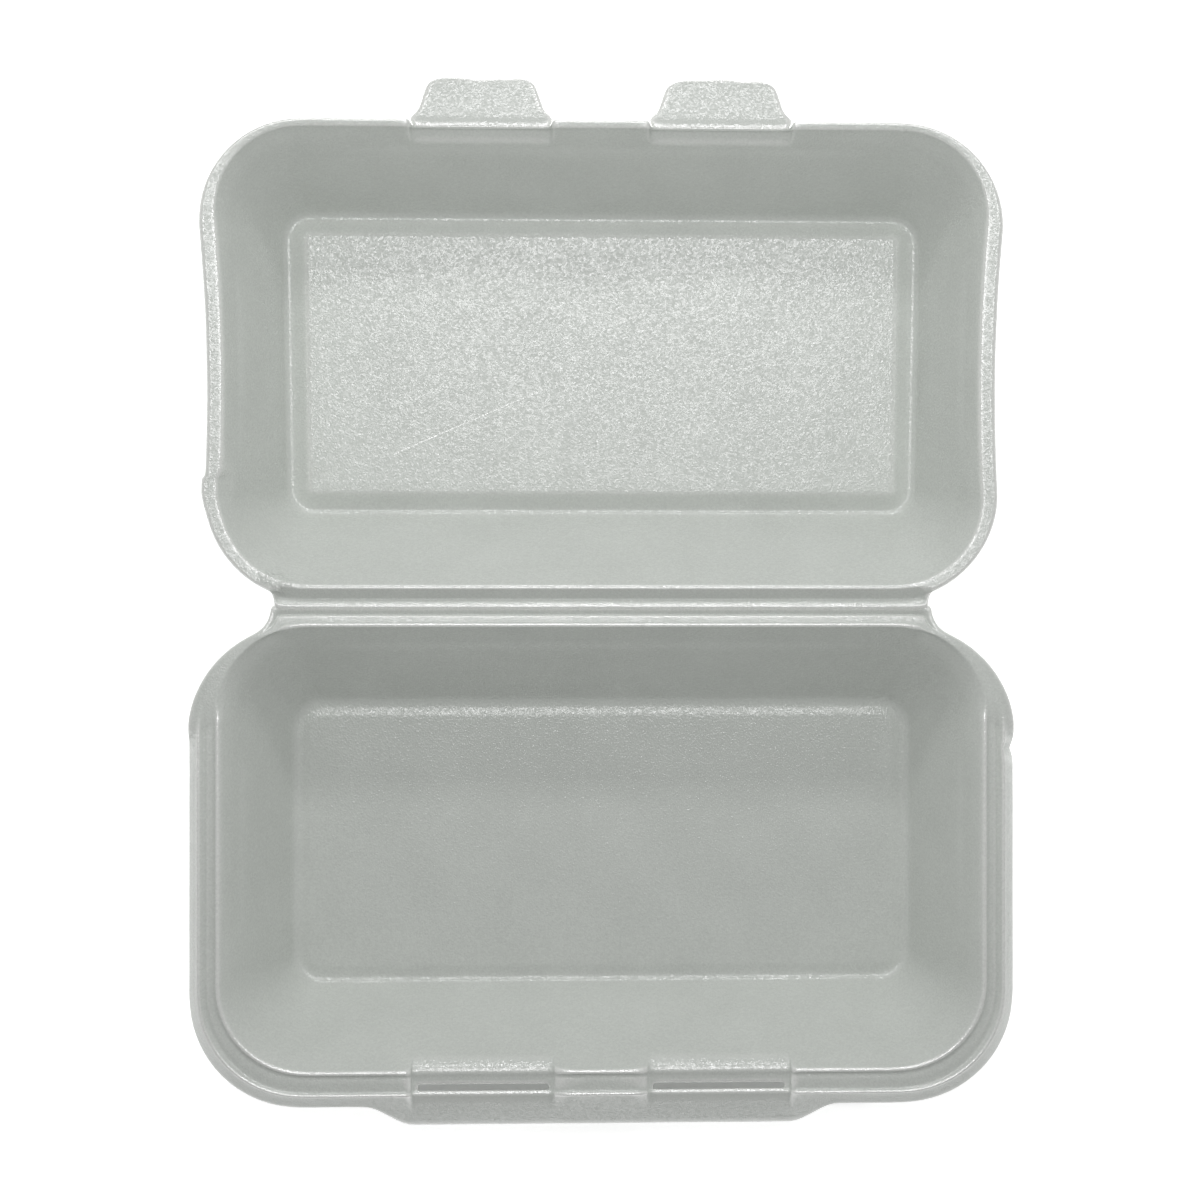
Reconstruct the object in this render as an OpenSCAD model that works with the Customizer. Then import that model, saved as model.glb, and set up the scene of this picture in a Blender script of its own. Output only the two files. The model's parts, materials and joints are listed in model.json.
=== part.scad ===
// Foam take-away box with a hinged lid, lying open: the base towards -Y, the lid towards +Y.
// The origin is on the table under the middle of the hinge, and X runs along the hinge.
// A place across the hinge is given as its distance d from the hinge's middle line.

/* [Box] */
// Width over the skirt of the base
box_w = 240; // [210:1:280]
// From the hinge to the front edge of the base's skirt
box_d = 144.9; // [125:0.1:170]
// Height of the base's rim above the table
base_h = 34.4; // [28:0.1:45]
// Thickness of the foam in floors and walls
foam_t = 2.2; // [1.6:0.1:2.6]
// Thickness of the pressed foam in the rims
rim_t = 1.6; // [1.2:0.1:1.9]
// Radius of the corners at the mouths of base and lid
mouth_r = 24.5; // [20:0.5:27]
// Gap between the closed rims
rim_gap = 0.25; // [0.15:0.05:0.6]

/* [Base] */
// Width of the base's rim at the sides, from the mouth to the skirt's edge
side_band = 10.6; // [9:0.1:12]
// Width of the base's rim at the front
front_band = 11.9; // [10.5:0.1:12.9]
// From the hinge to the mouth of the base
base_rear = 5.5; // [4.8:0.1:7]
// Run of the base's side walls from mouth to floor
base_side_run = 16.5; // [12:0.5:20]
// Run of the base's front wall
base_front_run = 19.9; // [14:0.1:24]
// Run of the base's rear wall
base_rear_run = 22.5; // [16:0.5:26]
// Corner radius of the base's floor
base_floor_r = 8.5; // [7:0.5:12]
// Rise of the panel in the base's floor
base_panel_rise = 0.6; // [0.4:0.1:1.5]
// Drop from the ridge to the ledge that the lid's rim lies over
ledge_drop = 0.7; // [0.5:0.1:1]
// Drop from the ridge to the groove behind it
groove_drop = 1.1; // [1.1:0.1:1.5]
// Drop from the ridge to the bead
bead_drop = 0.2; // [0.1:0.1:0.5]
// Drop from the ridge to the skirt's edge
skirt_drop = 4.4; // [3.6:0.1:6]
// Radius of the base's outer corners
base_corner_r = 32; // [29:0.5:35]

/* [Front lip] */
// How far the lip stands out past the skirt
lip_reach = 7; // [4:0.1:9]
// How far the lip's edge hangs below the skirt's edge
lip_drop = 7; // [4:0.1:10]
// Width of the lip at its edge
lip_end_w = 111; // [100:1:116]
// Width of the lip at its root
lip_root_w = 137.6; // [128:0.2:150]

/* [Lid] */
// How far the lid's rim stays inside the skirt at the sides
lid_side_inset = 4.8; // [4:0.1:6]
// How far the lid's rim stays inside the skirt at the front
lid_front_inset = 3.9; // [3.5:0.1:5]
// Width of the lid's rim at the sides
lid_side_band = 5.2; // [4.4:0.1:6]
// Width of the lid's rim at the front
lid_front_band = 2.6; // [2:0.1:3.2]
// From the hinge to the mouth of the lid
lid_rear = 6.9; // [6.6:0.1:8]
// Run of the lid's side walls from mouth to floor
lid_side_run = 15.3; // [11:0.1:19]
// Run of the lid's front wall
lid_front_run = 19.8; // [14:0.1:24]
// Run of the lid's rear wall
lid_rear_run = 21.7; // [16:0.1:26]
// Corner radius of the lid's floor
lid_floor_r = 7.6; // [7:0.2:11]
// Rise of the panel in the lid's floor
lid_panel_rise = 2.3; // [1.4:0.1:3]
// Width of the sloped band round the lid's panel
lid_panel_slope = 4.8; // [3:0.2:5.4]
// How far the lid's sides bow in at the middle
lid_bow = 1.5; // [0:0.1:2.5]
// Radius of the lid's outer corners
lid_corner_r = 30; // [27:0.5:32]

/* [Hinge] */
// How far the hinge's middle lies towards the lid
hinge_shift = 0.5; // [0:0.1:0.8]
// Distance between the two creases
crease_spacing = 4.4; // [3.8:0.1:5.2]
// Gap between the pieces at each crease
crease_gap = 0.15; // [0.1:0.05:0.2]
// Depth of the creases below the base's rim
crease_drop = 1.65; // [1.5:0.05:1.8]
// Thickness of the foam under a crease
film_t = 0.9; // [0.6:0.1:1.2]
// Distance of the hinge's ends from the sides of the box
hinge_inset = 24.3; // [24:0.1:27]
// Width of the rise from the creases to the lands
rise_w = 0.7; // [0.6:0.05:0.75]
// Spare angle of each crease when the box is shut
fold_spare = 5; // [3:0.5:6]

/* [Tabs and slots] */
// Distance of tabs and slots from the middle
tab_x = 34.2; // [30:0.1:36]
// Width of a tab at its root
tab_root_w = 38.8; // [34:0.1:40]
// Width of a tab at its end
tab_end_w = 29.7; // [24:0.1:32]
// Length of a tab from its crease
tab_len = 13.6; // [11:0.1:16]
// Thickness of a tab
tab_t = 1.2; // [0.8:0.1:1.4]
// Corner radius of a tab
tab_r = 3.5; // [2:0.1:5]
// How far a tab's crease lies inside the lid's front edge
tab_setback = 1.5; // [1.2:0.1:2]
// Drop of the rims at the tabs and the slots
tab_drop = 2.4; // [1.6:0.1:2.8]
// Clearance round a tab in its slot and its notch
tab_clear = 0.25; // [0.2:0.05:0.4]

/* [Embossing] */
// Depth of the step pressed into the walls
step_t = 0.4; // [0.2:0.1:0.6]
// Distance of that step below the rim
step_below = 7.5; // [6:0.5:10]

/* [Hidden] */
foam = "#dfe4df";

// Kinds of column round a shell, in the order in which they follow each other
REAR = 0;
SIDE = 1;
CORNER = 2;
FRONT = 3;

// Angles of the corner columns: the first stretch of a rear corner makes the notch at the hinge's end
notch_from = 14;
notch_to = 24;
rear_angles = [0, notch_from, 16.5, 19, 21.5, notch_to, 33, 43, 54, 65, 76, 90];
front_angles = [90, 78, 66, 54, 42, 30, 18, 9, 0];
channel_from = 76;
side_shares = [0.2, 0.4, 0.6, 0.8];

// Thickness of a drafted wall, measured level
wall_t = foam_t * 1.15;
// Rounding at the rims' inner edges, and run of the ramps at the recesses
edge = 0.6;
ramp = 0.7;

// Heights of the base's rim and hinge
ledge_z = base_h - ledge_drop;
groove_z = base_h - groove_drop;
bead_z = base_h - bead_drop;
skirt_z = base_h - skirt_drop;
pad_z = base_h - tab_drop;
crease_z = base_h - crease_drop;
film_z = crease_z - film_t;
base_crease_d = crease_spacing / 2 + crease_gap / 2 - hinge_shift;
lid_crease_d = crease_spacing / 2 + crease_gap / 2 + hinge_shift;
hinge_half = box_w / 2 - hinge_inset;

// The shut lid lies over the base turned about both creases, so its rim's height follows from them
lid_top = 2 * crease_z + crease_spacing - base_h - rim_gap;
lid_slope_w = 3;
lid_slope = atan((lid_top - crease_z) / lid_slope_w);
spine_rise = rise_w * tan(90 - lid_slope - fold_spare);

// Places of tabs and slots across the hinge
lid_front = box_d - lid_front_inset;
tab_crease_d = lid_front - tab_setback;
slot_d = tab_crease_d - 2 * hinge_shift - tab_clear;
slot_w = tab_t + 2 * tab_clear;
slot_half = tab_root_w / 2 - tab_clear;
notch_half = tab_root_w / 2 + tab_clear;
recess_half = notch_half + ramp + tab_clear;
tab_z = lid_top - tab_drop;

// Outlines are rounded rectangles: [half width, rear, front, corner radius, bow of the sides]
base_edge = [box_w / 2, base_rear - edge, box_d, base_corner_r, 0];
base_mouth = [box_w / 2 - side_band, base_rear, box_d - front_band, mouth_r, 0];
base_floor = [
    base_mouth[0] - base_side_run,
    base_mouth[1] + base_rear_run,
    base_mouth[2] - base_front_run,
    base_floor_r,
    0
];
lid_edge = [box_w / 2 - lid_side_inset, lid_crease_d + crease_gap, lid_front, lid_corner_r, lid_bow];
lid_mouth = [lid_edge[0] - lid_side_band, lid_rear, lid_front - lid_front_band, mouth_r, lid_bow];
lid_floor = [
    lid_mouth[0] - lid_side_run,
    lid_mouth[1] + lid_rear_run,
    lid_mouth[2] - lid_front_run,
    lid_floor_r,
    0
];

function clamp01(v) = min(1, max(0, v));
function mix(a, b, share) = a + (b - a) * share;
function smooth(v) = let (c = clamp01(v)) c * c * (3 - 2 * c);
function sorted(list) =
    len(list) < 2 ? list :
    let (first = list[0])
    concat(
        sorted([for (v = list) if (v > first) v]),
        [first],
        sorted([for (v = list) if (v < first) v])
    );
function grown(outline, by) =
    [outline[0] + by, outline[1] - by, outline[2] + by, max(1, outline[3] + by), outline[4]];

// The columns of the right half, from the hinge to the front, and then those of the left half back
function half_columns(front_places) = concat(
    [for (angle = rear_angles) [REAR, angle]],
    [for (share = side_shares) [SIDE, share]],
    [for (angle = front_angles) [CORNER, angle]],
    [for (x = sorted(front_places)) [FRONT, x]]
);
function columns(front_places) =
    let (half = half_columns(front_places), last = len(half) - 1)
    concat(
        [for (c = half) [1, c[0], c[1]]],
        [for (i = [last : -1 : 0]) [-1, half[i][0], half[i][1]]]
    );

// Where a column meets an outline, as [x, d]
function on_outline(o, c) =
    let (kind = c[1], v = c[2], corner_x = o[0] - o[3])
    kind == REAR ? [c[0] * (corner_x + o[3] * sin(v)), o[1] + o[3] * (1 - cos(v))] :
    kind == SIDE ? [c[0] * (o[0] - o[4] * 4 * v * (1 - v)), mix(o[1] + o[3], o[2] - o[3], v)] :
    kind == CORNER ? [c[0] * (corner_x + o[3] * sin(v)), o[2] - o[3] * (1 - cos(v))] :
    [c[0] * v, o[2]];

// The outer edge of a rim: the outline, drawn out to the crease at the hinge with a hollow curve at its ends
function on_edge(o, c, crease_d) =
    c[1] != REAR || c[2] >= notch_to ? on_outline(o, c) :
    c[2] < notch_from ? [on_outline(o, c)[0], crease_d] :
    let (
        s = (c[2] - notch_from) / (notch_to - notch_from),
        start = [hinge_half, crease_d],
        end = on_outline(o, [1, REAR, notch_to]),
        bend = [hinge_half, end[1] - (end[0] - hinge_half) * tan(notch_to)],
        p = mix(mix(start, bend, s), mix(bend, end, s), s)
    )
    [c[0] * p[0], p[1]];

// How far a column belongs to the hinge, the channel, a tab's place, the lip and the embossed walls
function at_hinge(c) =
    c[1] == REAR ? clamp01((notch_to - c[2]) / (notch_to - notch_from)) : 0;
function at_channel(c) =
    c[1] == REAR ? smooth((c[2] - channel_from) / (90 - channel_from)) : 1;
function at_tab(c, half) =
    c[1] == FRONT ? clamp01((half + ramp - abs(c[2] - tab_x)) / ramp) : 0;
function at_lip(c) =
    c[1] == FRONT ? smooth((lip_root_w / 2 - c[2]) / (lip_root_w / 2 - lip_end_w / 2)) : 0;
function at_step(c) =
    c[1] == REAR ? clamp01(1 - c[2] / notch_to) : c[1] == CORNER ? clamp01(1 - c[2] / 18) : 1;

// Rings of a shell: level ones on an outline, and ones that step in the embossed wall
function level_ring(cols, o, z) = [for (c = cols) let (p = on_outline(o, c)) [p[0], p[1], z]];
function step_ring(cols, o, z) =
    [for (c = cols) let (p = on_outline(grown(o, step_t * at_step(c)), c)) [p[0], p[1], z]];

// A closed shell drawn through rings that run from the middle of the upper side, over the rim
// and back to the middle of the underside
module loft(rings) {
    n = len(rings[0]);
    last = len(rings) - 1;
    upper = [for (i = [n - 1 : -1 : 0]) i];
    under = [for (i = [0 : n - 1]) last * n + i];
    sides = [
        for (k = [0 : last - 1], i = [0 : n - 1])
        let (j = (i + 1) % n, a = k * n, b = a + n)
        each [[a + i, a + j, b + j], [a + i, b + j, b + i]]
    ];
    polyhedron([for (ring = rings) each ring], concat([upper], sides, [under]));
}

// Stations along the fronts
recess_places = [for (s = [-1, 1], r = [0, ramp]) tab_x + s * (recess_half + r)];
notch_places = [for (s = [-1, 1], r = [0, ramp]) tab_x + s * (notch_half + r)];
lip_places = [for (s = [0 : 0.2 : 1]) mix(lip_root_w / 2, lip_end_w / 2, s)];
base_columns = columns(concat(recess_places, lip_places));
lid_columns = columns(notch_places);

// One ring of the base's rim. row: [share of the rim's width, the same at the hinge,
// height on the plain flange, on the channel, on a recess and at the hinge, share of the lip]
function base_rim_ring(row) = [
    for (c = base_columns)
    let (
        hinge = at_hinge(c),
        recess = at_tab(c, recess_half),
        lip = at_lip(c) * row[6],
        share = mix(row[0], row[1], hinge),
        p = mix(on_outline(base_mouth, c), on_edge(base_edge, c, base_crease_d), share),
        draft = base_front_run / base_h * tab_drop * recess * clamp01(1 - 3 * share),
        z = mix(mix(mix(row[2], row[3], at_channel(c)), row[4], recess), row[5], hinge)
    )
    [p[0], p[1] - draft + lip_reach * lip, z - lip_drop * lip]
];
land_share = 1 - rise_w / (base_rear - base_crease_d);
base_under_z = groove_z - rim_t;
pad_under_z = pad_z - rim_t;
base_rim = [
    [0, 0, base_h - edge, base_h - edge, pad_z - edge, base_h - edge, 0],
    [0.07, 0.07, base_h, base_h, pad_z, base_h, 0],
    [0.15, 0.14, base_h, base_h, pad_z, base_h, 0],
    [0.21, 0.21, base_h, groove_z, pad_z, base_h, 0],
    [0.28, 0.3, base_h, ledge_z, pad_z, base_h, 0],
    [0.55, 0.4, base_h, ledge_z, pad_z, base_h, 0],
    [0.61, 0.5, base_h, bead_z, pad_z, base_h, 0],
    [0.69, 0.6, base_h, bead_z, pad_z - edge / 2, base_h, 0],
    [0.79, land_share, base_h, mix(bead_z, skirt_z, 0.3), mix(pad_z, skirt_z, 0.5), base_h, 0.1],
    [1, 1, base_h - edge, skirt_z, skirt_z, crease_z, 1],
    [0.9, 1, base_h - rim_t, skirt_z - edge, skirt_z - edge, film_z, 1],
    [0.7, 0.8, base_h - rim_t, mix(base_under_z, skirt_z, 0.3), pad_under_z - edge, film_z, 0.1],
    [0.56, 0.6, base_h - rim_t, base_under_z, pad_under_z, film_z, 0],
    [0.14, 0.28, base_h - rim_t, base_under_z, pad_under_z, film_z, 0]
];

// A share of the way up a wall, from its height
function wall_share(z, top) = (z - foam_t) / (top - edge - foam_t);

module base_shell() {
    step_z = base_h - step_below;
    below_step = step_z - step_t * 2;
    slope = base_panel_rise * 2;
    moat = 3;
    loft(concat(
        [
            level_ring(base_columns, grown(base_floor, -moat - slope), foam_t + base_panel_rise),
            level_ring(base_columns, grown(base_floor, -moat), foam_t),
            level_ring(base_columns, grown(base_floor, -edge * 2), foam_t),
            level_ring(base_columns, grown(base_floor, edge), foam_t + edge),
            level_ring(base_columns, mix(base_floor, base_mouth, wall_share(below_step, base_h)), below_step),
            step_ring(base_columns, mix(base_floor, base_mouth, wall_share(step_z, base_h)), step_z)
        ],
        [for (row = base_rim) base_rim_ring(row)],
        [
            level_ring(base_columns, grown(base_floor, wall_t), foam_t),
            level_ring(base_columns, grown(base_floor, wall_t * 0.7), edge),
            level_ring(base_columns, grown(base_floor, 0), 0),
            level_ring(base_columns, grown(base_floor, -moat - edge), 0),
            level_ring(base_columns, grown(base_floor, -moat - slope - edge), base_panel_rise)
        ]
    ));
}

// The slots that the shut lid's tabs pass through
module slots() {
    through = base_h;
    for (side = [-1, 1])
        translate([side * tab_x - slot_half, slot_d, pad_z - through / 2])
            cube([2 * slot_half, slot_w, through]);
}

module base() {
    color(foam)
        rotate([0, 0, 180])
            difference() {
                base_shell();
                slots();
            }
}

// The strip between the two creases
module hinge_spine() {
    half = crease_spacing / 2 - crease_gap / 2;
    land_z = crease_z + spine_rise;
    color(foam)
        translate([0, hinge_shift, 0])
            rotate([90, 0, 90])
                linear_extrude(height = 2 * hinge_half, center = true)
                    polygon([
                        [-half, film_z],
                        [half, film_z],
                        [half, crease_z],
                        [half - rise_w, land_z],
                        [0, land_z],
                        [-half, crease_z]
                    ]);
}

// One ring of the lid's rim. row: [share of the rim's width, the same at the hinge,
// height on the rim, height at the hinge]
function lid_rim_ring(row) = [
    for (c = lid_columns)
    let (
        hinge = at_hinge(c),
        tab = at_tab(c, notch_half),
        share = mix(row[0], row[1], hinge),
        p = mix(on_outline(lid_mouth, c), on_edge(lid_edge, c, lid_crease_d), share),
        at_mouth = lid_front_run / lid_top * tab_drop,
        at_edge = tab_setback + crease_gap / 2,
        z = mix(row[2], row[3], hinge)
    )
    [p[0], p[1] - mix(at_mouth, at_edge, share) * tab, z - tab_drop * tab]
];
slope_share = (lid_rear - crease_spacing / 2 - hinge_shift - lid_slope_w) / (lid_rear - lid_crease_d);
near_crease = 0.93;
near_crease_z = mix(lid_top, crease_z, (near_crease - slope_share) / (1 - slope_share));
lid_under_z = lid_top - rim_t - edge;
lid_rim = [
    [0, 0, lid_top - edge, lid_top - edge],
    [0.22, 0.2, lid_top, lid_top],
    [0.4, slope_share, lid_top, lid_top],
    [0.88, near_crease, lid_top, near_crease_z],
    [1, 1, lid_top - edge, crease_z],
    [1, 1, lid_top - rim_t, film_z],
    [0.85, 0.8, lid_under_z, film_z],
    [0.3, 0.5, lid_under_z, film_z]
];

module lid() {
    step_z = lid_top - step_below;
    below_step = step_z - step_t * 2;
    groove = 1.4;
    panel = grown(lid_floor, -groove - lid_panel_slope);
    color(foam)
        loft(concat(
            [
                level_ring(lid_columns, panel, foam_t + lid_panel_rise),
                level_ring(lid_columns, grown(lid_floor, -groove), foam_t),
                level_ring(lid_columns, grown(lid_floor, -edge), foam_t),
                level_ring(lid_columns, grown(lid_floor, edge), foam_t + edge),
                level_ring(lid_columns, mix(lid_floor, lid_mouth, wall_share(below_step, lid_top)), below_step),
                step_ring(lid_columns, mix(lid_floor, lid_mouth, wall_share(step_z, lid_top)), step_z)
            ],
            [for (row = lid_rim) lid_rim_ring(row)],
            [
                level_ring(lid_columns, grown(lid_floor, wall_t), foam_t),
                level_ring(lid_columns, grown(lid_floor, wall_t * 0.7), edge),
                level_ring(lid_columns, grown(lid_floor, 0), 0),
                level_ring(lid_columns, grown(lid_floor, -groove - edge), 0),
                level_ring(lid_columns, grown(panel, -edge), lid_panel_rise)
            ]
        ));
}

// A locking tab: straight in the lid's notch, then hollow flanks that lead to a narrower end
module tab(side) {
    root = tab_root_w / 2;
    end = tab_end_w / 2;
    neck = tab_setback + edge;
    tip = tab_len - crease_gap / 2;
    flank = (tip - neck) * 0.4;
    right = concat(
        [[root, 0]],
        [for (s = [0 : 0.25 : 1]) [mix(root, end + edge, 1 - pow(1 - s, 2)), neck + flank * pow(s, 2)]],
        [for (angle = [0 : 15 : 90]) [end - tab_r * (1 - cos(angle)), tip - tab_r * (1 - sin(angle))]]
    );
    left = [for (i = [len(right) - 1 : -1 : 0]) [-right[i][0], right[i][1]]];
    color(foam)
        translate([side * tab_x, tab_crease_d + crease_gap / 2, tab_z - tab_t])
            linear_extrude(height = tab_t)
                polygon(concat(right, left));
}

module tab_left() {
    tab(-1);
}

module tab_right() {
    tab(1);
}

base();
hinge_spine();
lid();
tab_left();
tab_right();
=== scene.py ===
# %% [markdown]
# # A foam take-away box, lying open
# The real box is pressed from one warm sheet of polystyrene foam: a deep base, a lid and a
# creased hinge between them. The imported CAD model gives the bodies, the joints and the places of
# the creases. This script lays a smooth foam skin round it.

# %% Load the frame
import json
import math
from collections import namedtuple

import bmesh
import bpy
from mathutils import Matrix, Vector


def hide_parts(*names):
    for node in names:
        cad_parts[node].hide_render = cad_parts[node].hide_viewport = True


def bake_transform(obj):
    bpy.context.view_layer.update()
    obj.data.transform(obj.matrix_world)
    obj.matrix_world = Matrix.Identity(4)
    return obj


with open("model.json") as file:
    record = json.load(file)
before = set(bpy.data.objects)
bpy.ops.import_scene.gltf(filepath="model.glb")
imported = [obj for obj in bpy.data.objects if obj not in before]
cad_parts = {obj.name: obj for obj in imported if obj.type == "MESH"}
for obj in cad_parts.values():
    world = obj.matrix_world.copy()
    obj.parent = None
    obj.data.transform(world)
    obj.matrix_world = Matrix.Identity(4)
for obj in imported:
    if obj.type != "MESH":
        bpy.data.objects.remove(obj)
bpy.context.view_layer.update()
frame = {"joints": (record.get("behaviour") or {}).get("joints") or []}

MM = 0.001
creases = {joint["name"]: [c / MM for c in joint["pos_m"]] for joint in frame["joints"]}

# %% [markdown]
# ## Outlines
# Every ring of the two trays is a rounded rectangle that is cut at the same columns, as if ribs
# ran from the middle of the floor, over the rim and back underneath. A place across the hinge is
# its distance d from the hinge, in millimetres. With columns, the corner radius can grow from
# floor to mouth and the quads still follow the form.

# %% Columns
# A column is (side, kind, place). Its place is a share of the width at the back, an angle round a
# rear or front corner, a share of the length at the side, or x in millimetres at the front.
BACK, REAR, SIDE, CORNER, FRONT = range(5)
# Between these two angles of the rear corner, the outer edge turns into the end of the hinge
HOLLOW_FROM, HOLLOW_TO = 14, 24
BACK_SHARES = [0.1, 0.3, 0.5, 0.7, 0.88]
REAR_ANGLES = [0, 8, HOLLOW_FROM, 16, 18, 20, 22, HOLLOW_TO, 30, 38, 47, 56, 65, 72, 78, 84, 90]
CORNER_ANGLES = [90, 80, 70, 60, 50, 40, 30, 20, 10, 0]


def mix(a, b, share):
    return a + (b - a) * share


def clamp01(v):
    return min(1.0, max(0.0, v))


def smooth(v):
    v = clamp01(v)
    return v * v * (3 - 2 * v)


def all_columns(side_shares, front_places):
    half = (
        [(BACK, share) for share in BACK_SHARES]
        + [(REAR, angle) for angle in REAR_ANGLES]
        + [(SIDE, share) for share in side_shares]
        + [(CORNER, angle) for angle in CORNER_ANGLES]
        + [(FRONT, x) for x in sorted(front_places, reverse=True)]
    )
    return [(1, kind, v) for kind, v in half] + [(-1, kind, v) for kind, v in reversed(half)]


def at_hinge(column):
    """1 along the hinge, 0 from the end of its hollow curve on."""
    side, kind, v = column
    if kind == BACK:
        return 1.0
    return clamp01((HOLLOW_TO - v) / (HOLLOW_TO - HOLLOW_FROM)) if kind == REAR else 0.0


def to_front(column):
    """0 along the sides, 1 along the front, and a share of both round a front corner."""
    side, kind, v = column
    return smooth(1 - v / 90) if kind == CORNER else float(kind == FRONT)


print("columns to the rear corner:", len(BACK_SHARES) + len(REAR_ANGLES))

# %% Outlines
# Half the width, d at the rear and at the front, the corners' radius and the hollow of the sides
Outline = namedtuple("Outline", "half rear front radius bow")
HINGE_HALF = 95.7
MIN_RADIUS = 1.0


def grown(outline, by):
    half, rear, front, radius, bow = outline
    return Outline(half + by, rear - by, front + by, max(MIN_RADIUS, radius + by), bow)


def between(a, b, share):
    return Outline(*(mix(p, q, share) for p, q in zip(a, b)))


def on_outline(outline, column):
    half, rear, front, radius, bow = outline
    side, kind, v = column
    if kind == BACK:
        return side * (half - radius) * v, rear
    if kind == SIDE:
        return side * (half - bow * 4 * v * (1 - v)), mix(rear + radius, front - radius, v)
    if kind == FRONT:
        return side * v, front
    x = half - radius + radius * math.sin(math.radians(v))
    sweep = radius * (1 - math.cos(math.radians(v)))
    return side * x, (rear + sweep if kind == REAR else front - sweep)


def on_edge(outline, column, hinge_end):
    """The rim's outer edge: the outline, drawn out to the hinge with a hollow curve at its ends."""
    side, kind, v = column
    if kind == BACK or (kind == REAR and v < HOLLOW_FROM):
        return on_outline(outline, column)[0], hinge_end
    if kind != REAR or v >= HOLLOW_TO:
        return on_outline(outline, column)
    s = (v - HOLLOW_FROM) / (HOLLOW_TO - HOLLOW_FROM)
    end_x, end_d = on_outline(outline, (1, REAR, HOLLOW_TO))
    bend_d = end_d - (end_x - HINGE_HALF) * math.tan(math.radians(HOLLOW_TO))
    x = mix(HINGE_HALF, mix(HINGE_HALF, end_x, s), s)
    d = mix(mix(hinge_end, bend_d, s), mix(bend_d, end_d, s), s)
    return side * x, d


print("the hinge is", 2 * HINGE_HALF, "mm long")

# %% [markdown]
# ## Growing a tray
# A tray could be carved from a block, but pressed foam is one skin of even thickness. So each
# tray starts as a flat filled circle, its rim is extruded ring after ring, and each new ring is
# laid on its outline: up the inside, over the rim and down the outside. The last ring is filled.
# Two small layers on the vertices remember column and ring, for cuts that come later.

# %% Grow a skin ring by ring
# The trays of the real box lie a little askew: d changes by this share for each millimetre of x
SKEW = 6e-5


def grow_tray(name, columns, rings, direction):
    """rings: lists of (x, d, z) in millimetres, one point a column.
    direction: +1 for the lid's side of the hinge, -1 for the base's."""
    bpy.ops.object.select_all(action="DESELECT")
    bpy.ops.mesh.primitive_circle_add(vertices=len(columns), radius=50 * MM, fill_type="NGON")
    piece = bpy.context.object
    piece.name = name
    piece.data.name = name
    bpy.ops.object.mode_set(mode="EDIT")
    bpy.ops.mesh.select_mode(type="EDGE")
    bpy.ops.mesh.select_all(action="SELECT")
    form = bmesh.from_edit_mesh(piece.data)
    form.verts.layers.int.new("column")
    form.verts.layers.int.new("ring")
    column_layer = form.verts.layers.int["column"]
    for vertex in form.verts:
        vertex[column_layer] = vertex.index
    bmesh.update_edit_mesh(piece.data)
    for number, ring in enumerate(rings):
        if number:
            bpy.ops.mesh.extrude_edges_move(TRANSFORM_OT_translate={"value": (0, 0, 0)})
        form = bmesh.from_edit_mesh(piece.data)
        column_layer = form.verts.layers.int["column"]
        ring_layer = form.verts.layers.int["ring"]
        for vertex in form.verts:
            if vertex.select:
                x, d, z = ring[vertex[column_layer]]
                vertex.co = (x * MM, direction * d * (1 - SKEW * x) * MM, z * MM)
                vertex[ring_layer] = number
        bmesh.update_edit_mesh(piece.data)
    bpy.ops.mesh.edge_face_add()
    # The first and the last face have many sides. Poked, they are rounded without wrinkles
    bpy.ops.mesh.select_mode(type="FACE")
    bpy.ops.mesh.select_all(action="DESELECT")
    bpy.ops.mesh.select_face_by_sides(number=4, type="GREATER")
    bpy.ops.mesh.poke()
    bpy.ops.mesh.select_all(action="SELECT")
    bpy.ops.mesh.normals_make_consistent(inside=False)
    bpy.ops.object.mode_set(mode="OBJECT")
    print(name, "has", len(columns), "columns and", len(rings), "rings")
    return piece


# %% Round a skin and let it wander
# How far and over what length a skin wanders, in millimetres, and the height where that starts
TRAY_WOBBLE = (0.12, 14)
TAB_WOBBLE = (0.08, 5)
WOBBLE_ABOVE = 5


def pick(piece):
    bpy.ops.object.select_all(action="DESELECT")
    piece.select_set(True)
    bpy.context.view_layer.objects.active = piece


def apply_modifiers(piece):
    pick(piece)
    for modifier in list(piece.modifiers):
        bpy.ops.object.modifier_apply(modifier=modifier.name)


def smooth_skin(piece, wobble_mm, wobble_size_mm):
    """Round the cage once, then let the skin wander by a little, as foam does when it cools."""
    rounding = piece.modifiers.new("rounding", "SUBSURF")
    rounding.levels = rounding.render_levels = 1
    rounding.use_limit_surface = False
    clouds = bpy.data.textures.new(piece.name + "_wobble", "CLOUDS")
    clouds.noise_scale = wobble_size_mm * MM
    wobble = piece.modifiers.new("wobble", "DISPLACE")
    wobble.texture = clouds
    wobble.texture_coords = "LOCAL"
    wobble.strength = wobble_mm * MM
    above_floor = piece.vertex_groups.new(name="above_floor")
    high = [v.index for v in piece.data.vertices if v.co.z > WOBBLE_ABOVE * MM]
    above_floor.add(high, 1.0, "REPLACE")
    wobble.vertex_group = above_floor.name
    apply_modifiers(piece)
    bpy.ops.object.shade_smooth()
    print(piece.name, "has", len(piece.data.polygons), "faces")


print("trays wander by", TRAY_WOBBLE[0], "mm, tabs by", TAB_WOBBLE[0], "mm")

# %% [markdown]
# ## Floors and walls
# Both trays have a flat floor with a raised panel and walls that lean outwards. On each wall a
# shallow frame is embossed, which stiffens the thin foam. It could be a separate cut, but a ring
# that steps out by less than half a millimetre along the middle of the wall looks the same.

# %% Rings of floors and walls
FOAM = 2.2
# The foam measured level through a leaning wall
WALL = FOAM * 1.15
FLOOR_SHARES = (0.16, 0.32, 0.52, 0.74, 0.92)
# The outer face of a wall: (height, step)
OUTER_WALL = [(24, 0), (12, 0)]
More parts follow.
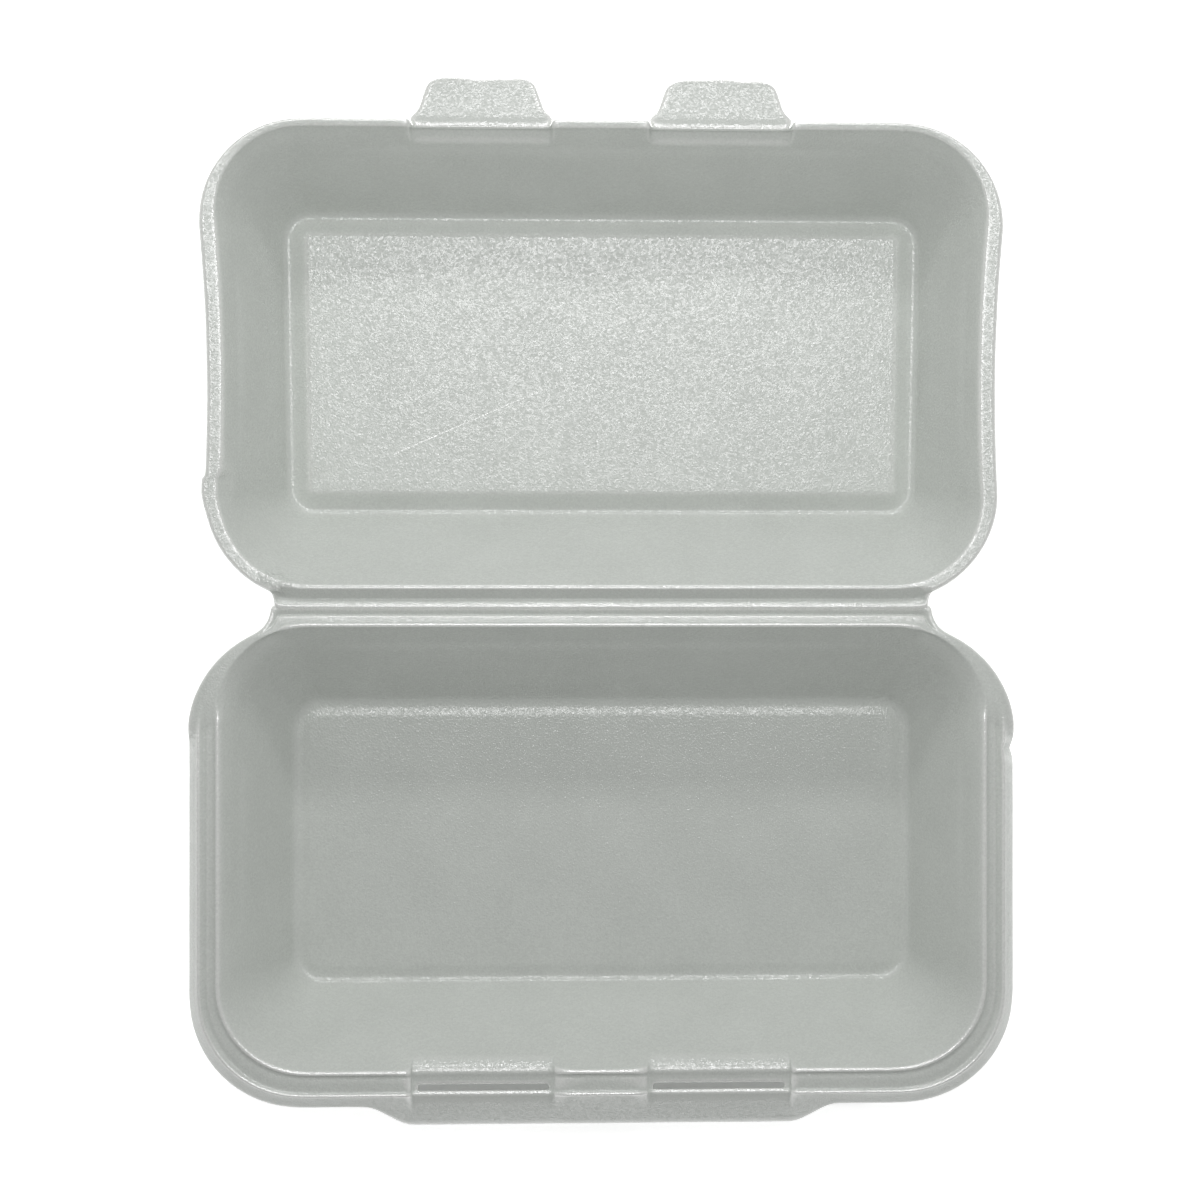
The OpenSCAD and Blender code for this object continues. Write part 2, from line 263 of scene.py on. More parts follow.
# The frame keeps off the ends of a side wall by this share, and ends at this x on a front wall
FRAME_MARGIN = 0.12
FRAME_X, FRAME_RAMP = 78, 8


def levels(columns, places):
    """A flat ring for each (outline, height)."""
    return [[on_outline(outline, column) + (z,) for column in columns] for outline, z in places]


def floor_rings(edge_ring):
    """The same ring drawn in towards the middle, so that a flat floor gets even faces."""
    middle = (min(p[1] for p in edge_ring) + max(p[1] for p in edge_ring)) / 2
    return [
        [(x * share, mix(middle, d, share), z) for x, d, z in edge_ring] for share in FLOOR_SHARES
    ]


def at_frame(column):
    """1 along the middle of each wall, where the frame is embossed, and 0 round the corners."""
    side, kind, v = column
    if kind == SIDE:
        return smooth((0.5 - abs(v - 0.5)) / FRAME_MARGIN - 1)
    if kind == BACK:
        return 1.0
    return smooth((FRAME_X - v) / FRAME_RAMP) if kind == FRONT else 0.0


def wall_rings(columns, low, mouth, top, places):
    """A ring for each (height, step) on the wall between the floor's outline and the mouth's."""
    rings = []
    for z, step in places:
        plain = between(low, mouth, (z - FOAM) / (top - FOAM))
        rings.append(
            [on_outline(grown(plain, step * at_frame(column)), column) + (z,) for column in columns]
        )
    return rings


def inside_rings(columns, low, mouth, top, bottom, wall):
    """From the middle of the floor up to the mouth."""
    rings = levels(columns, bottom)
    return floor_rings(rings[0]) + rings + wall_rings(columns, low, mouth, top, wall)


def outside_rings(columns, low, mouth, top, under_panel):
    """From the rim down the outer wall to the middle of the underside."""
    heel = [(grown(low, WALL + 0.5), FOAM + 1), (grown(low, WALL * 0.6), 0.5), (low, 0)]
    rings = levels(columns, heel + under_panel)
    outer = wall_rings(columns, grown(low, WALL), grown(mouth, WALL), top, OUTER_WALL)
    return outer + rings + floor_rings(rings[-1])[::-1]


print("foam", FOAM, "mm thick, floors with", len(FLOOR_SHARES), "rings inside their panel")

# %% [markdown]
# ## The base
# The base's rim takes most of the work: a ridge at the mouth, a channel, a bead and a skirt run
# round three sides, fade into a plain flange near the hinge, drop into two recesses with slits
# and grow into a lip at the front. Separate strips would leave seams, so one table holds the
# rim's profile, with a row for each ring and a height for each kind of place.

# %% Sizes of the base
BASE_TOP = 34.4
BASE_EDGE = Outline(120, 4.9, 144.9, 32, 0)
BASE_MOUTH = Outline(109.4, 5.5, 133.0, 24.5, 0)
BASE_FLOOR = Outline(92.9, 28.0, 113.1, 8.5, 0)
BASE_END = -0.9
MOAT = 2.4
BASE_RISE = 0.4
TAB_X = 34.2
RECESS_HALF = 20.6
RECESS_RAMP = 0.8
# At a recess the mouth stands 1 mm inwards, which fades over one fifth of the rim's width
RECESS_FADE = 5
SLIT_HALF = 19.1
LIP_REACH, LIP_DROP = 7, 7
LIP_END, LIP_ROOT = 111 / 2, 137.6 / 2
# Angle of the rear corner where the flange starts to sink into the channel
CHANNEL_FROM, CHANNEL_RAMP = 80, 18
# A place d on the lid shuts on d - 2 * SHIFT of the base, and there the slit takes the tab
SHIFT = (creases["spine_fold"][1] + creases["lid_fold"][1]) / 2
TAB_CREASE = creases["tab_left_fold"][1]
SLIT_BEFORE, SLIT_WIDTH = 0.45, 1.85
SLIT_IN = TAB_CREASE - 2 * SHIFT - SLIT_BEFORE
SLIT_OUT = SLIT_IN + SLIT_WIDTH
print("the slits run from d =", SLIT_IN, "to", SLIT_OUT)

# %% Columns of the base
NICK_SHARES = [0.015, 0.035, 0.054, 0.073, 0.1]
SLIT_SHARES = (-0.93, -0.75, -0.5, -0.25, 0, 0.25, 0.5, 0.75, 0.93)
LIP_SHARES = (0, 0.14, 0.28, 0.42, 0.72, 0.86, 1.06)
BASE_PLAIN_X = [4.5, 75, 80]
base_side_shares = NICK_SHARES + [0.15 + 0.82 * i / 9 for i in range(10)]
base_front_places = (
    [TAB_X + s * (RECESS_HALF + r) for s in (-1, 1) for r in (0, RECESS_RAMP)]
    + [TAB_X + s * SLIT_HALF for s in (-1, 1)]
    + [TAB_X + SLIT_HALF * s for s in SLIT_SHARES]
    + [mix(LIP_ROOT, LIP_END, s) for s in LIP_SHARES]
    + BASE_PLAIN_X
)
base_columns = all_columns(base_side_shares, base_front_places)


def at_channel(column):
    side, kind, v = column
    if kind == BACK:
        return 0.0
    return smooth((v - CHANNEL_FROM) / CHANNEL_RAMP) if kind == REAR else 1.0


def at_recess(column):
    side, kind, v = column
    if kind != FRONT:
        return 0.0
    return clamp01((RECESS_HALF + RECESS_RAMP - abs(v - TAB_X)) / RECESS_RAMP)


def at_lip(column):
    side, kind, v = column
    return smooth((LIP_ROOT - v) / (LIP_ROOT - LIP_END)) if kind == FRONT else 0.0


print("columns of the base:", len(base_columns))

# %% The profile of the base's rim
rim_width = BASE_EDGE.front - BASE_MOUTH.front
slit_in_share = (SLIT_IN - BASE_MOUTH.front) / rim_width
slit_out_share = (SLIT_OUT - BASE_MOUTH.front) / rim_width
# Each row: share of the rim's width at the side and at the front, distance d at the hinge, then
# heights on the plain flange, at the side, at the front, in a recess and at the hinge, and the
# share of the lip
BASE_RIM = [
    (0.00, 0.00, 5.80, 33.0, 33.2, 33.2, 31.2, 33.7, 0),
    (0.08, 0.045, 5.40, 33.6, 34.2, 34.35, 31.9, 34.6, 0),
    (0.15, 0.115, 4.90, 34.0, 34.75, 34.75, 32.4, 34.75, 0),
    (0.21, 0.145, 4.45, 34.3, 34.3, 34.3, 32.45, 34.6, 0),
    (0.27, 0.185, 4.15, 34.4, 33.65, 33.55, 32.3, 33.95, 0),
    (0.35, 0.25, 3.20, 34.4, 33.65, 33.95, 31.9, 33.8, 0),
    (0.45, slit_in_share, 2.40, 34.4, 33.7, 33.85, 32.0, 33.6, 0),
    (0.52, slit_out_share, 2.10, 34.4, 33.1, 33.7, 32.0, 33.1, 0),
    (0.60, 0.595, 1.85, 34.4, 33.9, 34.25, 32.15, 32.5, 0),
    (0.67, 0.655, 1.50, 34.4, 34.7, 34.65, 32.45, 32.65, 0),
    (0.74, 0.69, 1.10, 34.35, 34.0, 33.9, 32.2, 33.0, 0),
    (0.86, 0.81, 0.50, 34.2, 32.4, 32.3, 31.9, 33.4, 0.12),
    (0.96, 0.95, -0.20, 33.9, 30.6, 30.6, 30.6, 33.4, 0.88),
    (1.00, 1.00, BASE_END, 33.4, 30.0, 30.0, 30.0, 33.1, 1),
    (0.97, 0.97, BASE_END, 32.7, 29.4, 29.4, 29.4, 31.95, 1),
    (0.87, 0.84, 0.50, 32.6, 30.6, 30.6, 29.6, 31.85, 0.2),
    (0.70, 0.68, 1.60, 32.6, 32.0, 32.0, 30.3, 31.85, 0),
    (0.55, slit_out_share, 2.40, 32.6, 31.9, 31.9, 30.4, 31.85, 0),
    (0.40, slit_in_share, 3.20, 32.5, 31.8, 31.8, 30.4, 31.85, 0),
    (0.16, 0.14, 4.20, 32.4, 31.6, 31.6, 30.4, 31.85, 0),
]
# The rows on both sides of a slit, in the upper and in the lower skin
SLIT_TOP, SLIT_UNDER = (6, 7), (17, 18)


def base_rim_ring(row):
    side_share, front_share, hinge_d = row[:3]
    flange_z, side_z, front_z, recess_z, hinge_z, lip_share = row[3:]
    ring = []
    for column in base_columns:
        hinge, recess, front = at_hinge(column), at_recess(column), to_front(column)
        lip = at_lip(column) * lip_share
        hinge_share = (BASE_MOUTH.rear - hinge_d) / (BASE_MOUTH.rear - BASE_END)
        share = mix(mix(side_share, front_share, front), hinge_share, hinge)
        mouth_x, mouth_d = on_outline(BASE_MOUTH, column)
        edge_x, edge_d = on_edge(BASE_EDGE, column, BASE_END)
        z = mix(flange_z, mix(side_z, front_z, front), at_channel(column))
        z = mix(mix(z, recess_z, recess), hinge_z, hinge)
        inward = recess * clamp01(1 - RECESS_FADE * share)
        x = mix(mouth_x, edge_x, share)
        d = mix(mouth_d, edge_d, share) - inward + LIP_REACH * lip
        ring.append((x, d, z - LIP_DROP * lip))
    return ring


print("rings of the base's rim:", len(BASE_RIM))

# %% Grow the base
# From the panel out to the foot of the wall: (outline, height). Then the wall: (height, step)
BASE_BOTTOM = [
    (grown(BASE_FLOOR, -MOAT - 2.6), FOAM + BASE_RISE),
    (grown(BASE_FLOOR, -MOAT - 2.0), FOAM + BASE_RISE * 0.9),
    (grown(BASE_FLOOR, -MOAT - 0.2), FOAM + BASE_RISE * 0.08),
    (grown(BASE_FLOOR, -MOAT + 0.3), FOAM),
    (grown(BASE_FLOOR, -0.9), FOAM),
    (grown(BASE_FLOOR, 0.5), FOAM + 0.7),
]
BASE_WALL = [(6, 0), (14, 0), (22, 0), (25.8, 0), (26.6, 0.4), (30, 0.25)]
BASE_UNDER = [(grown(BASE_FLOOR, -MOAT - 0.6), 0), (grown(BASE_FLOOR, -MOAT - 2.6), BASE_RISE)]
NICK_D, NICK_HALF, NICK_DEPTH = 41, 2.2, 1.1
NICK_X, NICK_RAMP = 114, 4


def nicked(x, d):
    """The right edge of the skirt has a small nick."""
    depth = NICK_DEPTH * clamp01(1 - abs(d - NICK_D) / NICK_HALF)
    return x - depth * smooth((x - NICK_X) / NICK_RAMP)


base_form = (base_columns, BASE_FLOOR, BASE_MOUTH, BASE_TOP)
base_inside = inside_rings(*base_form, BASE_BOTTOM, BASE_WALL)
base_rings = (
    base_inside
    + [base_rim_ring(row) for row in BASE_RIM]
    + outside_rings(*base_form, BASE_UNDER)
)
base_rings = [[(nicked(x, d), d, z) for x, d, z in ring] for ring in base_rings]
base_tray = grow_tray("base_tray", base_columns, base_rings, -1)

# %% [markdown]
# ### The slits
# The lid's tabs lock through two slits. A Boolean would leave ragged faces in the thin rim, so
# they are cut before the skin is rounded: the strip of faces above and the strip below each slit
# are selected and bridged, which removes both strips and builds the cut foam between them.

# %% Cut the slits
TOLERANCE = 0.01


def cut_slit(piece, columns, side, first_ring):
    pick(piece)
    bpy.ops.object.mode_set(mode="EDIT")
    bpy.ops.mesh.select_mode(type="FACE")
    bpy.ops.mesh.select_all(action="DESELECT")
    form = bmesh.from_edit_mesh(piece.data)
    column_layer = form.verts.layers.int["column"]
    ring_layer = form.verts.layers.int["ring"]
    inside = {
        i
        for i, (s, kind, v) in enumerate(columns)
        if s == side and kind == FRONT and abs(v - TAB_X) <= SLIT_HALF + TOLERANCE
    }
    strips = [{first_ring + r for r in rows} for rows in (SLIT_TOP, SLIT_UNDER)]
    for face in form.faces:
        rings = {vertex[ring_layer] for vertex in face.verts}
        if rings in strips and {vertex[column_layer] for vertex in face.verts} <= inside:
            face.select_set(True)
    bmesh.update_edit_mesh(piece.data)
    bpy.ops.mesh.bridge_edge_loops()
    bpy.ops.object.mode_set(mode="OBJECT")


for side in (-1, 1):
    cut_slit(base_tray, base_columns, side, len(base_inside))
smooth_skin(base_tray, *TRAY_WOBBLE)

# %% [markdown]
# ## The lid
# The lid is made in the same way, with a simpler rim: a rounded edge that narrows at the front,
# two notches where the tabs grow out of it, and at the hinge a slope that ends in the middle of
# the hinge strip. The crack and the flare of the real lid are laid over the finished rings.

# %% Sizes and columns of the lid
LID_TOP = 35.25
LID_EDGE = Outline(115.2, 2.4, 141.0, 30, 1.5)
LID_MOUTH = Outline(110.0, 6.9, 138.4, 24.5, 1.5)
LID_FLOOR = Outline(94.7, 28.6, 118.6, 7.6, 0)
LID_END = -1.0
LID_RISE, LID_SLOPE, LID_GROOVE = 2.3, 4.8, 1.4
NOTCH_HALF = 19.65
NOTCH_RAMP = 1.0
NOTCH_DROP = 2.4
# The notch's rim ends these distances before the tab's crease, at the mouth and at the edge
NOTCH_MOUTH, NOTCH_EDGE = 1.0, 0.1
CRACK_SHARES = [0.02, 0.055, 0.063, 0.071]
NOTCH_STEPS = (-1.2, 0, NOTCH_RAMP / 2, NOTCH_RAMP, NOTCH_RAMP + 1.2)
NOTCH_SHARES = (-0.6, -0.2, 0.2, 0.6)
LID_PLAIN_X = [5, 65, 75]
lid_side_shares = sorted(CRACK_SHARES + [0.1 + 0.87 * i / 10 for i in range(11)])
lid_front_places = (
    [TAB_X + s * (NOTCH_HALF + r) for s in (-1, 1) for r in NOTCH_STEPS]
    + [TAB_X + NOTCH_HALF * s for s in NOTCH_SHARES]
    + LID_PLAIN_X
)
lid_columns = all_columns(lid_side_shares, lid_front_places)
print("columns of the lid:", len(lid_columns))

# %% The profile of the lid's rim
# Each row: share of the rim's width, distance d at the hinge, height on the rim and at the hinge
LID_RIM = [
    (0.00, 7.00, 34.1, 34.5),
    (0.12, 6.55, 35.0, 35.3),
    (0.28, 6.00, 35.2, 35.42),
    (0.62, 5.55, 35.4, 35.5),
    (0.86, 5.25, 35.5, 35.0),
    (0.95, 3.30, 35.1, 33.1),
    (1.00, 2.65, 34.5, 32.55),
    (1.00, 2.20, 34.0, 32.95),
    (1.00, 0.85, 33.75, 33.9),
    (0.98, 0.35, 33.5, 34.0),
    (0.95, -0.35, 33.3, 33.7),
    (0.88, LID_END, 33.1, 32.5),
    (0.70, 0.80, 32.9, 31.85),
    (0.50, 2.60, 32.8, 31.85),
    (0.30, 4.50, 32.7, 31.85),
]


def at_tab(column):
    side, kind, v = column
    if kind != FRONT:
        return 0.0
    return smooth((NOTCH_HALF + NOTCH_RAMP - abs(v - TAB_X)) / NOTCH_RAMP)


def lid_rim_ring(row):
    rim_share, hinge_d, rim_z, hinge_z = row
    ring = []
    for column in lid_columns:
        hinge, tab = at_hinge(column), at_tab(column)
        hinge_share = (LID_MOUTH.rear - hinge_d) / (LID_MOUTH.rear - LID_END)
        share = mix(rim_share, hinge_share, hinge)
        mouth_x, mouth_d = on_outline(LID_MOUTH, column)
        edge_x, edge_d = on_edge(LID_EDGE, column, LID_END)
        notch_d = mix(TAB_CREASE - NOTCH_MOUTH, TAB_CREASE - NOTCH_EDGE, rim_share)
        d = mix(mix(mouth_d, edge_d, share), notch_d, tab)
        z = mix(rim_z, hinge_z, hinge) - NOTCH_DROP * tab
        ring.append((mix(mouth_x, edge_x, share), d, z))
    return ring


print("rings of the lid's rim:", len(LID_RIM))

# %% Grow the lid
LID_PANEL = grown(LID_FLOOR, -LID_GROOVE - LID_SLOPE)
LID_BOTTOM = [
    (grown(LID_PANEL, -0.4), FOAM + LID_RISE),
    (grown(LID_PANEL, 0.3), FOAM + LID_RISE * 0.96),
    (grown(LID_FLOOR, -LID_GROOVE - 0.6), FOAM + 0.2),
    (grown(LID_FLOOR, -LID_GROOVE + 0.4), FOAM),
    (grown(LID_FLOOR, -0.2), FOAM + 0.1),
    (grown(LID_FLOOR, 1.0), FOAM + 1.0),
]
LID_WALL = [(6, 0), (14, 0), (22, 0), (26.6, 0), (27.4, 0.4), (30.5, 0.25)]
LID_UNDER = [(grown(LID_FLOOR, -LID_GROOVE - 0.6), 0), (grown(LID_PANEL, -0.6), LID_RISE)]
FLARE, FLARE_D = 1.8e-4, 54
CRACK_D, CRACK_JUT = 37.5, 1.0
CRACK_FROM, CRACK_RAMP = 25, 10
CRACK_X, CRACK_Z = -100, 33


def flared(x, d):
    """The lid of the real box is a little wider towards its front."""
    return x * (1 + FLARE * (d - FLARE_D))


def cracked(x, d, z):
    """The rim is cracked on the left: behind the crack it stands out by a millimetre."""
    if x < CRACK_X and z > CRACK_Z and d < CRACK_D:
        return x - CRACK_JUT * smooth((d - CRACK_FROM) / CRACK_RAMP)
    return x


lid_form = (lid_columns, LID_FLOOR, LID_MOUTH, LID_TOP)
lid_rings = (
    inside_rings(*lid_form, LID_BOTTOM, LID_WALL)
    + [lid_rim_ring(row) for row in LID_RIM]
    + outside_rings(*lid_form, LID_UNDER)
)
lid_rings = [[(flared(cracked(x, d, z), d), d, z) for x, d, z in ring] for ring in lid_rings]
lid_tray = grow_tray("lid_tray", lid_columns, lid_rings, 1)
smooth_skin(lid_tray, *TRAY_WOBBLE)

# %% [markdown]
# ## The tabs
# Each tab is a tongue of the same foam that grows out of the lid's rim. An extruded outline would
# give it sharp flanks, so it starts as a flat grid, its rows are laid between two curved flanks,
# and Solidify gives it the thickness of pressed foam. Its torn end is a little ragged.

# %% Sizes of the tabs
# Half widths at the root, the shoulder and the tip, and distances from the tab's crease
TAB_TIP = 14.85
TAB_ROOT, TAB_SHOULDER = 19.5, TAB_TIP + 3.1
TAB_BEHIND, TAB_SHOULDER_D, TAB_LEN = 0.8, 4.5, 13.7
TAB_CORNER = 3.0
TAB_THICK = 0.95
TAB_Z = creases["tab_left_fold"][2]
TAB_ROWS, TAB_COLUMNS = 14, 16
# The root widens by a millimetre from ROOT_FROM on, and from the neck on the flanks draw in
ROOT_FROM, ROOT_RAMP = 0.9, 0.6
NECK_D, NECK_RAMP = LID_EDGE.front - TAB_CREASE + 0.3, 3.2
# A low bead runs along the crease
BEAD_RISE, BEAD_D, BEAD_WIDTH = 0.5, 0.7, 0.6
# The ragged end is a sum of waves: height, waves across and turn, which differs for the two tabs
RAGGED = [(0.3, 3.1, 2), (0.15, 7.3, 1)]
print("the tabs reach", TAB_LEN, "mm beyond their crease")


# %% Model the tabs
def tab_point(side, across, along):
    """across: -1 to 1 between the flanks. along: 0 to 1 from root to tip."""
    ragged = sum(height * math.sin(w * across + turn * side) for height, w, turn in RAGGED)
    d = -TAB_BEHIND + (TAB_LEN + ragged + TAB_BEHIND) * along
    narrowing = clamp01((d - TAB_SHOULDER_D) / (TAB_LEN - TAB_SHOULDER_D))
    flank = mix(TAB_SHOULDER, TAB_TIP, narrowing)
    root = TAB_ROOT + smooth((d - ROOT_FROM) / ROOT_RAMP)
    flank = mix(root, flank, smooth((d - NECK_D) / NECK_RAMP))
    corner = min(TAB_CORNER, max(0.0, d - ragged - (TAB_LEN - TAB_CORNER)))
    flank -= TAB_CORNER - math.sqrt(max(0.0, TAB_CORNER * TAB_CORNER - corner * corner))
    y = TAB_CREASE + d
    x = flared(side * TAB_X + across * flank, y)
    z = TAB_Z + BEAD_RISE * math.exp(-(((d - BEAD_D) / BEAD_WIDTH) ** 2))
    return x * MM, y * (1 - SKEW * x) * MM, z * MM


def grow_tab(name, side):
    bpy.ops.object.select_all(action="DESELECT")
    bpy.ops.mesh.primitive_grid_add(
        x_subdivisions=TAB_COLUMNS, y_subdivisions=TAB_ROWS, size=2
    )
    tab = bpy.context.object
    tab.name = name
    tab.data.name = name
    bpy.ops.object.mode_set(mode="EDIT")
    form = bmesh.from_edit_mesh(tab.data)
    for vertex in form.verts:
        vertex.co = tab_point(side, vertex.co.x, (vertex.co.y + 1) / 2)
    bmesh.update_edit_mesh(tab.data)
    bpy.ops.object.mode_set(mode="OBJECT")
    wall = tab.modifiers.new("thickness", "SOLIDIFY")
    wall.thickness = TAB_THICK * MM
    wall.offset = -1
    apply_modifiers(tab)
    smooth_skin(tab, *TAB_WOBBLE)
    return tab


tab_sides = {"tab_left": -1, "tab_right": 1}
tabs = {name: grow_tab(name + "_tongue", side) for name, side in tab_sides.items()}
pieces = [base_tray, lid_tray, *tabs.values()]

# %% [markdown]
# ## Foam
# Expanded polystyrene sheet has a closed, slightly glossy skin over cells well under a millimetre
# wide. The cells bulge a little and each has its own gloss, so light that mirrors off the skin
# breaks into fine sparkle. Where the sheet is bent sharply, its crests get a paler colour, which is
# a painted highlight, and a stronger gloss. At the lid's rear left corner the sheet is crumpled. An
# image could hold all this, but procedural noise has no seams and stays sharp from close up.


# %% Colours and nodes
def linear(hex_colour):
    channels = [int(hex_colour[i : i + 2], 16) / 255 for i in (1, 3, 5)]
    bent = [c / 12.92 if c <= 0.04045 else ((c + 0.055) / 1.055) ** 2.4 for c in channels]
    return (*bent, 1.0)


def add_node(tree, kind, inputs=None, **settings):
    """Add one node. An input, by name or number, takes a value or the socket to link to it."""
    node = tree.nodes.new(kind)
    for key, value in settings.items():
        setattr(node, key, value)
    for key, value in (inputs or {}).items():
        if isinstance(value, bpy.types.NodeSocket):
            tree.links.new(value, node.inputs[key])
        else:
            node.inputs[key].default_value = value
    return node


def scale_of(size_mm):
    """The scale of a texture whose features have this size."""
    return 1 / (size_mm * MM)


WHITE = (1, 1, 1, 1)
# The paler colour of the sharp crests is a painted highlight, where the lamps would mirror in them
PAINTED_HIGHLIGHT = "#f6f8f4"
print("the pale crests in linear colour:", linear(PAINTED_HIGHLIGHT))

# %% Relief of the foam
CELL_MM, CELL_SMOOTHNESS = 0.65, 0.4
GRAIN_MM, GRAIN_DETAIL = 0.5, 2.0
RELIEF_MM = 0.11
FOLD_MM = 1.8
CRUMPLE_PLACE = (-0.0935, 0.0081, 0.0345)
CRUMPLE_FULL, CRUMPLE_NONE, CRUMPLE_STRENGTH = 0.002, 0.006, 12

foam = bpy.data.materials.new("polystyrene_foam_skin")
foam.use_nodes = True
tree = foam.node_tree
shader = tree.nodes["Principled BSDF"]
place = add_node(tree, "ShaderNodeTexCoord").outputs["Object"]
cells = add_node(
    tree,
    "ShaderNodeTexVoronoi",
    {"Vector": place, "Scale": scale_of(CELL_MM), "Smoothness": CELL_SMOOTHNESS},
    feature="SMOOTH_F1",
)
grain = add_node(
    tree,
    "ShaderNodeTexNoise",
    {"Vector": place, "Scale": scale_of(GRAIN_MM), "Detail": GRAIN_DETAIL},
)
spread = add_node(
    tree, "ShaderNodeVectorMath", {0: place, 1: CRUMPLE_PLACE}, operation="DISTANCE"
)
crumpled = add_node(
    tree,
    "ShaderNodeMapRange",
    {
        "Value": spread.outputs["Value"],
        "From Min": CRUMPLE_FULL,
        "From Max": CRUMPLE_NONE,
        "To Min": CRUMPLE_STRENGTH,
        "To Max": 0,
    },
)
folds = add_node(tree, "ShaderNodeTexNoise", {"Vector": place, "Scale": scale_of(FOLD_MM)})
crumple = add_node(
    tree,
    "ShaderNodeMath",
    {0: folds.outputs["Fac"], 1: crumpled.outputs[0]},
    operation="MULTIPLY",
)
relief = add_node(
    tree,
    "ShaderNodeMath",
    {0: cells.outputs["Distance"], 1: grain.outputs["Fac"], 2: crumple.outputs[0]},
    operation="MULTIPLY_ADD",
)
bump = add_node(
    tree,
    "ShaderNodeBump",
    {"Height": relief.outputs[0], "Strength": 1.0, "Distance": RELIEF_MM * MM},
)
tree.links.new(bump.outputs["Normal"], shader.inputs["Normal"])
print("foam cells:", CELL_MM, "mm")

# %% Colour and gloss of the foam
MOTTLE_MM, MOTTLE_DETAIL = 18, 3.0
TINTS = [(0.3, "#d6dad5"), (0.7, "#dbdfda")]
# The pointiness over which the painted crest highlight fades in, and how much more the crests gloss
CREST_FROM, CREST_TO, CREST_SHINE = 0.505, 0.53, 1.6
FLAKE_MM = 0.6
GLOSS_LOW, GLOSS_HIGH = 0.05, 1.0
FOAM_ROUGHNESS, FOAM_IOR = 0.18, 1.59

mottle = add_node(
    tree,
    "ShaderNodeTexNoise",
    {"Vector": place, "Scale": scale_of(MOTTLE_MM), "Detail": MOTTLE_DETAIL},
)
tint = add_node(tree, "ShaderNodeValToRGB", {"Fac": mottle.outputs["Fac"]})
for stop, (position, colour) in zip(tint.color_ramp.elements, TINTS):
    stop.position = position
    stop.color = linear(colour)
# Pointiness finds the sharp crests: there the colour turns paler, a painted highlight, and the
# gloss grows
bend = add_node(tree, "ShaderNodeNewGeometry").outputs["Pointiness"]
crest = add_node(
    tree,
    "ShaderNodeMapRange",
    {"Value": bend, "From Min": CREST_FROM, "From Max": CREST_TO},
).outputs[0]
# In a Mix node for colours, sockets 6 and 7 are the two colours and output 2 is the result
highlighted = add_node(
    tree,
    "ShaderNodeMix",
    {0: crest, 6: tint.outputs["Color"], 7: linear(PAINTED_HIGHLIGHT)},
    data_type="RGBA",
)
tree.links.new(highlighted.outputs[2], shader.inputs["Base Color"])
flake = add_node(tree, "ShaderNodeTexVoronoi", {"Vector": place, "Scale": scale_of(FLAKE_MM)})
luck = add_node(tree, "ShaderNodeSeparateColor", {"Color": flake.outputs["Color"]})
gloss = add_node(
    tree,
    "ShaderNodeMapRange",
    {"Value": luck.outputs["Red"], "To Min": GLOSS_LOW, "To Max": GLOSS_HIGH},
)
shine = add_node(
    tree,
    "ShaderNodeMath",
    {0: crest, 1: CREST_SHINE, 2: gloss.outputs[0]},
    operation="MULTIPLY_ADD",
)
tree.links.new(shine.outputs[0], shader.inputs["Specular IOR Level"])
shader.inputs["Roughness"].default_value = FOAM_ROUGHNESS
shader.inputs["IOR"].default_value = FOAM_IOR
for piece in pieces:
    piece.data.materials.append(foam)
print("foam on", [piece.name for piece in pieces])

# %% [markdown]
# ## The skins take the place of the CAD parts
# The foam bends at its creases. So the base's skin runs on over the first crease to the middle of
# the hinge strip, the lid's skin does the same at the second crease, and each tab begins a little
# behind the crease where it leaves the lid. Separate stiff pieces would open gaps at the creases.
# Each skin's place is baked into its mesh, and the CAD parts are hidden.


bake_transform(base_tray)
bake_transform(lid_tray)
for name, tab in tabs.items():
    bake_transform(tab)
    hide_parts(name)
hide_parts("base")
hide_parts("lid", "hinge_spine")
print("skins that bend:", len(pieces))

# %% [markdown]
# ## Floor, light and camera
# The photograph looks straight down on a white ground. The paper glows a little, which keeps it
# white beside the foam, but not under the base, where the slits have to look dark. Two ceiling
# lights stand where the lid's floor and the tabs mirror them and the base's floor does not, so
# the lid shines and the base stays matt. A window and a sky that is brighter near the horizon
# light the walls.

# %% Floor
FLOOR_SIZE, FLOOR_Z = 6, -0.0005
PAPER, PAPER_ROUGHNESS = "#f7f7f7", 0.9
FLOOR_GLOW = 0.7
# A box under the base: axis, middle and half its size. Up to SHADE_FROM outside it nothing glows,
# and from SHADE_TO on the glow is full
SHADE_BOX = [("X", 0, 0.078), ("Y", -0.083, 0.052)]
SHADE_FROM, SHADE_TO = 0.012, 0.018

bpy.ops.object.select_all(action="DESELECT")
bpy.ops.mesh.primitive_plane_add(size=FLOOR_SIZE, location=(0, 0, FLOOR_Z))
floor = bpy.context.object
floor.name = "floor"
paper = bpy.data.materials.new("white_paper")
paper.use_nodes = True
paper_tree = paper.node_tree
paper_shader = paper_tree.nodes["Principled BSDF"]
paper_shader.inputs["Base Color"].default_value = linear(PAPER)
paper_shader.inputs["Roughness"].default_value = PAPER_ROUGHNESS
paper_shader.inputs["Emission Color"].default_value = WHITE
spot = add_node(paper_tree, "ShaderNodeTexCoord").outputs["Object"]
apart = add_node(paper_tree, "ShaderNodeSeparateXYZ", {"Vector": spot}).outputs
beyond = {}
for number, (axis, middle, half) in enumerate(SHADE_BOX):
    link = apart[axis]
    for operation, value, clamped in (
        ("SUBTRACT", middle, False),
        ("ABSOLUTE", 0, False),
        ("SUBTRACT", half, True),
        ("POWER", 2, False),
    ):
        step = add_node(
            paper_tree,
            "ShaderNodeMath",
            {0: link, 1: value},
            operation=operation,
            use_clamp=clamped,
        )
        link = step.outputs[0]
    beyond[number] = link
